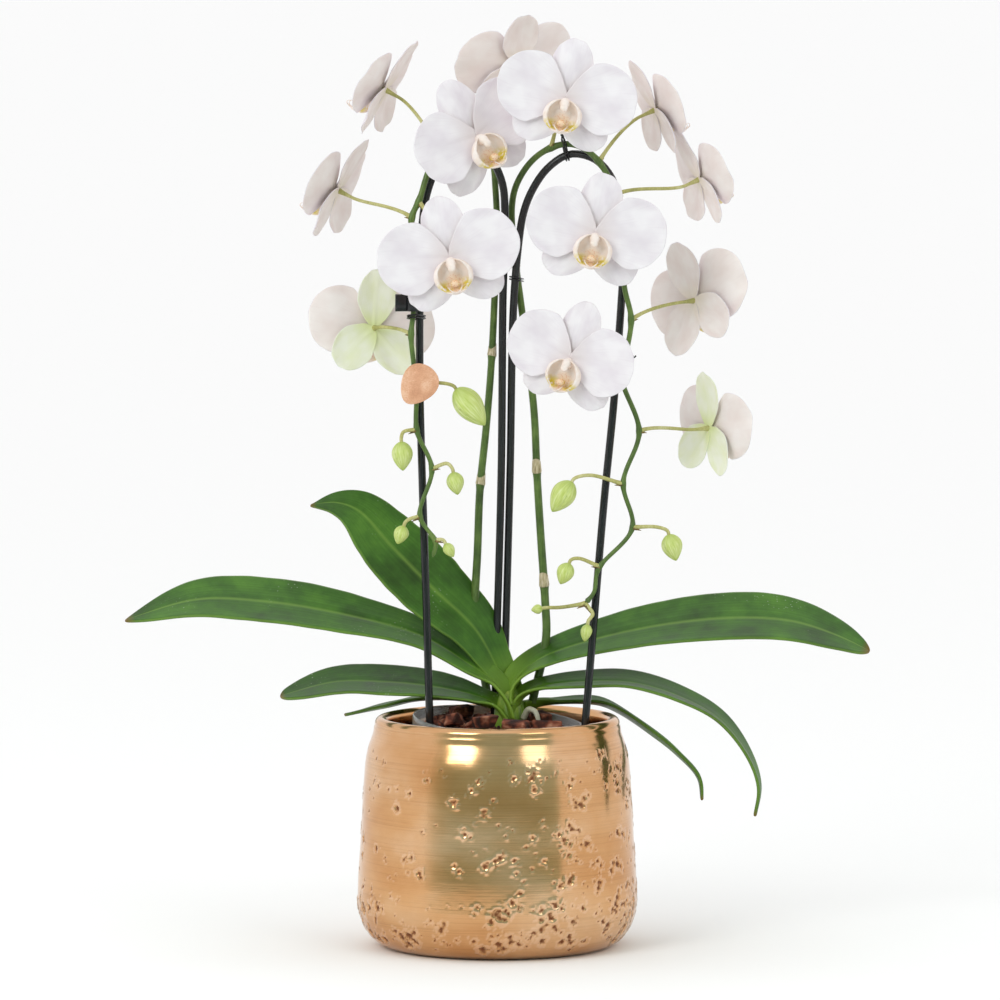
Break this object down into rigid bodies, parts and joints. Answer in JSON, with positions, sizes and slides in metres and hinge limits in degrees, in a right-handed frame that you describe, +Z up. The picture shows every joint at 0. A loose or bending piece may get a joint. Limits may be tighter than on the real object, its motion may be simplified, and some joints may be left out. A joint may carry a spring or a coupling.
{
  "type": "potted orchid",
  "caption": "White moth orchid in a rounded gold-glazed pot: two flower spikes arched over black wires, with hanging buds, broad leaves and bark.",
  "frame": {"origin": "centre of the pot's flat underside", "axes": "+Z up the plant; -Y is the plant's front, which the full-face flowers look towards; +X is the viewer's right"},
  "size_m": [0.4047, 0.152, 0.5053],
  "materials": {
    "gold_glaze": "gold lustre glaze, finely turned, with dark pits",
    "clear_plastic": "cloudy clear thin-walled plastic",
    "bark": "rough red-brown pine bark",
    "black_plastic": "satin black plastic coating",
    "leaf_green": "waxy leathery leaf, paler midrib, dusty spots",
    "crown_green": "pale yellow-green leaf bases",
    "stem_green": "smooth waxy stem with papery joints",
    "root_grey": "silvery spongy root skin",
    "petal_white": "soft white petals with faint veins, yellow and orange lip",
    "bud_green": "waxy yellow-green bud with seams",
    "tag_peach": "matt peach pressed board"
  },
  "bodies": {
    "root": {"decorative_pot": "gold_glaze", "grow_pot": "clear_plastic", "bark_filling": "bark", "bark_chip_1": "bark", "bark_chip_2": "bark", "bark_chip_3": "bark", "bark_chip_4": "bark", "bark_chip_5": "bark", "bark_chip_6": "bark", "arch_wire_left": "black_plastic", "arch_wire_right": "black_plastic", "plant_crown": "crown_green", "aerial_root": "root_grey", "spike_left": "stem_green", "spike_right": "stem_green", "flower_left_1": "petal_white", "flower_left_2": "petal_white", "flower_left_3": "petal_white", "flower_left_4": "petal_white", "flower_left_5": "petal_white", "flower_left_6": "petal_white", "flower_right_1": "petal_white", "flower_right_2": "petal_white", "flower_right_3": "petal_white", "flower_right_4": "petal_white", "flower_right_5": "petal_white", "flower_right_6": "petal_white", "flower_right_7": "petal_white", "bud_left_1": "bud_green", "bud_left_2": "bud_green", "bud_left_3": "bud_green", "bud_left_4": "bud_green", "bud_left_5": "bud_green", "bud_right_1": "bud_green", "bud_right_2": "bud_green", "bud_right_3": "bud_green", "bud_right_4": "bud_green", "bud_right_5": "bud_green", "leaf_left_1": "leaf_green", "leaf_left_2": "leaf_green", "leaf_left_3": "leaf_green", "leaf_left_4": "leaf_green", "leaf_right_1": "leaf_green", "leaf_right_2": "leaf_green", "leaf_right_3": "leaf_green", "tie_left": "black_plastic", "tie_top": "black_plastic", "tie_middle": "black_plastic", "tie_right": "black_plastic", "stem_clip": "black_plastic", "hang_tag": "tag_peach"}
  },
  "joints": []
}
